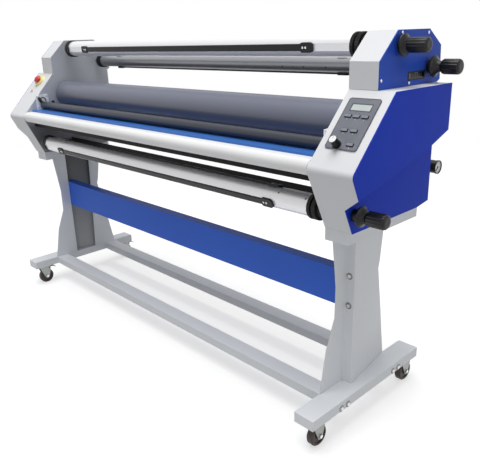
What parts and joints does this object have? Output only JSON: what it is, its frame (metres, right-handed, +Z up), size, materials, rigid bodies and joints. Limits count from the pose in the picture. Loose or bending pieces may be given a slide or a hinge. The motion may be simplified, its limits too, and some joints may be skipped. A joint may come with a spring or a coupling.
{
  "type": "laminator",
  "caption": "Wide roll laminator on a caster stand: covered nip rollers, film core shafts with tension knobs, a swinging guide bar and a sloped control panel.",
  "frame": {"origin": "on the floor, midway between the two feet and halfway along them", "axes": "+X along the rollers to the operator's right, where the tension knobs are; +Y to the back; +Z up"},
  "size_m": [2.214, 0.641, 1.268],
  "materials": {
    "stand_paint": "satin light grey powder coat",
    "blue_paint": "satin blue powder coat",
    "table_paint": "satin blue powder coat",
    "white_paint": "fine textured white powder coat",
    "beam_paint": "smooth white powder coat",
    "plate_paint": "satin grey paint",
    "black_paint": "satin black powder coat",
    "motor_paint": "black enamel",
    "bolt_steel": "zinc plated",
    "bare_steel": "ground steel",
    "bracket_zinc": "zinc plated",
    "caster_zinc": "zinc plated",
    "aluminium": "satin",
    "shaft_aluminium": "anodised satin",
    "guide_paint": "black anodised",
    "roller_rubber": "smooth ground silicone rubber",
    "caster_rubber": "moulded rubber",
    "fitting_black": "matt black",
    "knob_black": "satin black",
    "pedal_black": "matt black",
    "panel_grey": "printed membrane grey",
    "button_grey": "satin grey",
    "stop_yellow": "gloss yellow",
    "stop_red": "gloss red",
    "needle_paint": "black enamel"
  },
  "bodies": {
    "frame": {"left_foot": "stand_paint", "right_foot": "stand_paint", "left_upright": "stand_paint", "right_upright": "stand_paint", "lower_rails": "stand_paint", "stretcher_panel": "blue_paint", "stand_bolts": "bolt_steel", "left_side_plate": "plate_paint", "right_side_plate": "plate_paint", "left_housing": "white_paint", "right_housing": "white_paint", "left_cap": "white_paint", "right_cap": "white_paint", "left_side_cover": "blue_paint", "right_side_cover": "blue_paint", "cap_plates": "blue_paint", "front_beam": "beam_paint", "feed_table": "table_paint", "cross_members": "black_paint", "lower_bearing_blocks": "bare_steel", "lift_cylinders": "aluminium", "drive_motor": "motor_paint", "guide_brackets": "bracket_zinc", "control_panel": "panel_grey", "emergency_stop_base": "stop_yellow", "pressure_gauge": "knob_black"},
    "roller_lift": {"upper_bearing_blocks": "bare_steel"},
    "bottom_roller": {"bottom_roller": "roller_rubber"},
    "top_roller": {"top_roller": "roller_rubber"},
    "top_front_shaft": {"top_front_core_shaft": "shaft_aluminium", "top_front_shaft_fittings": "fitting_black"},
    "top_front_knob": {"top_front_tension_knob": "knob_black"},
    "top_rear_shaft": {"top_rear_core_shaft": "shaft_aluminium", "top_rear_shaft_fittings": "fitting_black"},
    "top_rear_knob": {"top_rear_tension_knob": "knob_black"},
    "lower_front_shaft": {"lower_front_core_shaft": "shaft_aluminium", "lower_front_shaft_fittings": "fitting_black"},
    "lower_front_knob": {"lower_front_tension_knob": "knob_black"},
    "guide_bar": {"guide_bar": "guide_paint"},
    "speed_knob": {"speed_knob": "knob_black"},
    "left_top_button": {"left_top_button": "button_grey"},
    "middle_top_button": {"middle_top_button": "button_grey"},
    "right_top_button": {"right_top_button": "button_grey"},
    "left_middle_button": {"left_middle_button": "button_grey"},
    "right_middle_button": {"right_middle_button": "button_grey"},
    "lower_button": {"lower_button": "button_grey"},
    "stop_head": {"emergency_stop_head": "stop_red"},
    "gauge_needle": {"gauge_needle": "needle_paint"},
    "front_left_fork": {"front_left_caster_fork": "caster_zinc"},
    "front_left_wheel": {"front_left_caster_wheel": "caster_rubber"},
    "front_left_pedal": {"front_left_brake_pedal": "pedal_black"},
    "rear_left_fork": {"rear_left_caster_fork": "caster_zinc"},
    "rear_left_wheel": {"rear_left_caster_wheel": "caster_rubber"},
    "rear_left_pedal": {"rear_left_brake_pedal": "pedal_black"},
    "front_right_fork": {"front_right_caster_fork": "caster_zinc"},
    "front_right_wheel": {"front_right_caster_wheel": "caster_rubber"},
    "front_right_pedal": {"front_right_brake_pedal": "pedal_black"},
    "rear_right_fork": {"rear_right_caster_fork": "caster_zinc"},
    "rear_right_wheel": {"rear_right_caster_wheel": "caster_rubber"},
    "rear_right_pedal": {"rear_right_brake_pedal": "pedal_black"}
  },
  "joints": [
    {"name": "roller_lift", "type": "slide", "parent": "frame", "child": "roller_lift", "axis": [0, 0, 1], "range_m": [0, 0.025]},
    {"name": "bottom_roller_spin", "type": "hinge", "parent": "frame", "child": "bottom_roller", "pos_m": [0, -0.005, 0.877], "axis": [1, 0, 0], "continuous": true},
    {"name": "top_roller_spin", "type": "hinge", "parent": "roller_lift", "child": "top_roller", "pos_m": [0, -0.005, 1.007], "axis": [1, 0, 0], "continuous": true},
    {"name": "top_front_shaft_spin", "type": "hinge", "parent": "frame", "child": "top_front_shaft", "pos_m": [0, 0.035, 1.227], "axis": [1, 0, 0], "continuous": true},
    {"name": "top_front_knob_turn", "type": "hinge", "parent": "frame", "child": "top_front_knob", "pos_m": [1.06, 0.035, 1.227], "axis": [1, 0, 0], "range_deg": [-360, 360]},
    {"name": "top_rear_shaft_spin", "type": "hinge", "parent": "frame", "child": "top_rear_shaft", "pos_m": [0, 0.2, 1.16], "axis": [1, 0, 0], "continuous": true},
    {"name": "top_rear_knob_turn", "type": "hinge", "parent": "frame", "child": "top_rear_knob", "pos_m": [1.06, 0.2, 1.16], "axis": [1, 0, 0], "range_deg": [-360, 360]},
    {"name": "lower_front_shaft_spin", "type": "hinge", "parent": "frame", "child": "lower_front_shaft", "pos_m": [0, -0.157, 0.773], "axis": [1, 0, 0], "continuous": true},
    {"name": "lower_front_knob_turn", "type": "hinge", "parent": "frame", "child": "lower_front_knob", "pos_m": [1.06, -0.157, 0.773], "axis": [1, 0, 0], "range_deg": [-360, 360]},
    {"name": "guide_bar_swing", "type": "hinge", "parent": "frame", "child": "guide_bar", "pos_m": [0, -0.157, 0.994], "axis": [1, 0, 0], "range_deg": [0, 60]},
    {"name": "speed_knob_turn", "type": "hinge", "parent": "frame", "child": "speed_knob", "pos_m": [0.983, -0.19186, 0.97368], "axis": [0, -0.7267, 0.6869], "range_deg": [-135, 135]},
    {"name": "left_top_button_press", "type": "slide", "parent": "frame", "child": "left_top_button", "axis": [0, 0.7267, -0.6869], "range_m": [0, 0.0015], "stiffness_N_per_m": 300, "springref_m": -0.0005},
    {"name": "middle_top_button_press", "type": "slide", "parent": "frame", "child": "middle_top_button", "axis": [0, 0.7267, -0.6869], "range_m": [0, 0.0015], "stiffness_N_per_m": 300, "springref_m": -0.0005},
    {"name": "right_top_button_press", "type": "slide", "parent": "frame", "child": "right_top_button", "axis": [0, 0.7267, -0.6869], "range_m": [0, 0.0015], "stiffness_N_per_m": 300, "springref_m": -0.0005},
    {"name": "left_middle_button_press", "type": "slide", "parent": "frame", "child": "left_middle_button", "axis": [0, 0.7267, -0.6869], "range_m": [0, 0.0015], "stiffness_N_per_m": 300, "springref_m": -0.0005},
    {"name": "right_middle_button_press", "type": "slide", "parent": "frame", "child": "right_middle_button", "axis": [0, 0.7267, -0.6869], "range_m": [0, 0.0015], "stiffness_N_per_m": 300, "springref_m": -0.0005},
    {"name": "lower_button_press", "type": "slide", "parent": "frame", "child": "lower_button", "axis": [0, 0.7267, -0.6869], "range_m": [0, 0.0015], "stiffness_N_per_m": 300, "springref_m": -0.0005},
    {"name": "stop_head_press", "type": "slide", "parent": "frame", "child": "stop_head", "axis": [0, 0.7267, -0.6869], "range_m": [0, 0.005], "stiffness_N_per_m": 400, "springref_m": -0.002},
    {"name": "gauge_needle_turn", "type": "hinge", "parent": "frame", "child": "gauge_needle", "pos_m": [1.02, 0.313, 0.828], "axis": [1, 0, 0], "range_deg": [-270, 0], "stiffness_Nm_per_rad": 0.001, "springref_deg": 5.73},
    {"name": "front_left_swivel", "type": "hinge", "parent": "frame", "child": "front_left_fork", "pos_m": [-0.961, -0.258, 0.1], "axis": [0, 0, 1], "continuous": true},
    {"name": "front_left_wheel_roll", "type": "hinge", "parent": "front_left_fork", "child": "front_left_wheel", "pos_m": [-0.961, -0.24, 0.0375], "axis": [1, 0, 0], "continuous": true},
    {"name": "front_left_pedal_tip", "type": "hinge", "parent": "front_left_fork", "child": "front_left_pedal", "pos_m": [-0.961, -0.224, 0.082], "axis": [1, 0, 0], "range_deg": [0, 18]},
    {"name": "rear_left_swivel", "type": "hinge", "parent": "frame", "child": "rear_left_fork", "pos_m": [-0.961, 0.258, 0.1], "axis": [0, 0, 1], "continuous": true},
    {"name": "rear_left_wheel_roll", "type": "hinge", "parent": "rear_left_fork", "child": "rear_left_wheel", "pos_m": [-0.961, 0.276, 0.0375], "axis": [1, 0, 0], "continuous": true},
    {"name": "rear_left_pedal_tip", "type": "hinge", "parent": "rear_left_fork", "child": "rear_left_pedal", "pos_m": [-0.961, 0.292, 0.082], "axis": [1, 0, 0], "range_deg": [0, 18]},
    {"name": "front_right_swivel", "type": "hinge", "parent": "frame", "child": "front_right_fork", "pos_m": [0.961, -0.258, 0.1], "axis": [0, 0, 1], "continuous": true},
    {"name": "front_right_wheel_roll", "type": "hinge", "parent": "front_right_fork", "child": "front_right_wheel", "pos_m": [0.961, -0.24, 0.0375], "axis": [1, 0, 0], "continuous": true},
    {"name": "front_right_pedal_tip", "type": "hinge", "parent": "front_right_fork", "child": "front_right_pedal", "pos_m": [0.961, -0.224, 0.082], "axis": [1, 0, 0], "range_deg": [0, 18]},
    {"name": "rear_right_swivel", "type": "hinge", "parent": "frame", "child": "rear_right_fork", "pos_m": [0.961, 0.258, 0.1], "axis": [0, 0, 1], "continuous": true},
    {"name": "rear_right_wheel_roll", "type": "hinge", "parent": "rear_right_fork", "child": "rear_right_wheel", "pos_m": [0.961, 0.276, 0.0375], "axis": [1, 0, 0], "continuous": true},
    {"name": "rear_right_pedal_tip", "type": "hinge", "parent": "rear_right_fork", "child": "rear_right_pedal", "pos_m": [0.961, 0.292, 0.082], "axis": [1, 0, 0], "range_deg": [0, 18]}
  ],
  "couplings": [
    {"joint": "top_roller_spin", "follows": "bottom_roller_spin", "ratio": -1}
  ]
}
